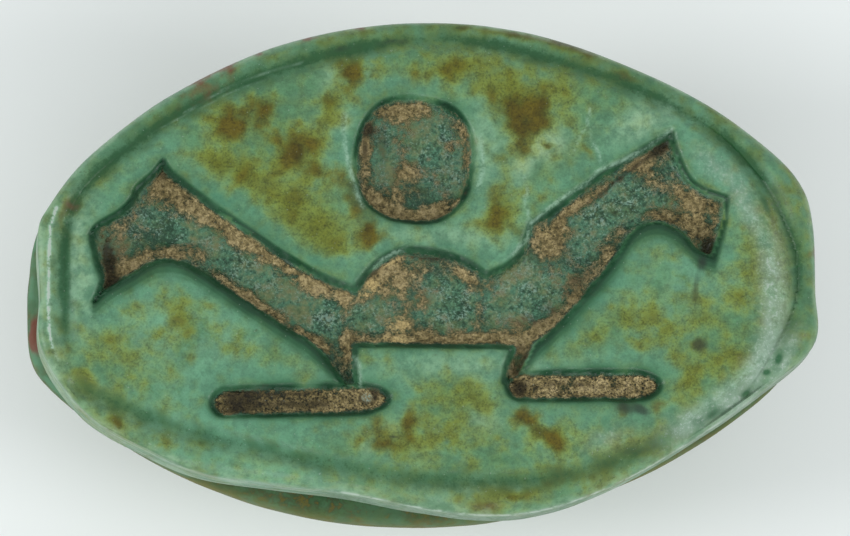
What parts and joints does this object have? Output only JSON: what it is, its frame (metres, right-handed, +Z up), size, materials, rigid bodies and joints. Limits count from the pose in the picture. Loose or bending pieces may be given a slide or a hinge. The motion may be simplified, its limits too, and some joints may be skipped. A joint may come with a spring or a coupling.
{
  "type": "cowroid seal",
  "caption": "Small glazed stone cowroid seal: pointed oval plate with a sunk animal and sun disc design, grooved side, domed back and a lengthwise string hole.",
  "frame": {"origin": "under the middle of the seal, on the small flat of the domed back that it rests on", "axes": "+X along the string hole and the seal's length, +Y across it towards the sun disc, +Z up out of the carved face"},
  "size_m": [0.016, 0.0102, 0.0062],
  "materials": {
    "glaze": "worn turquoise-green glaze over stone, satin"
  },
  "bodies": {
    "root": {"cowroid": "glaze"}
  },
  "joints": []
}
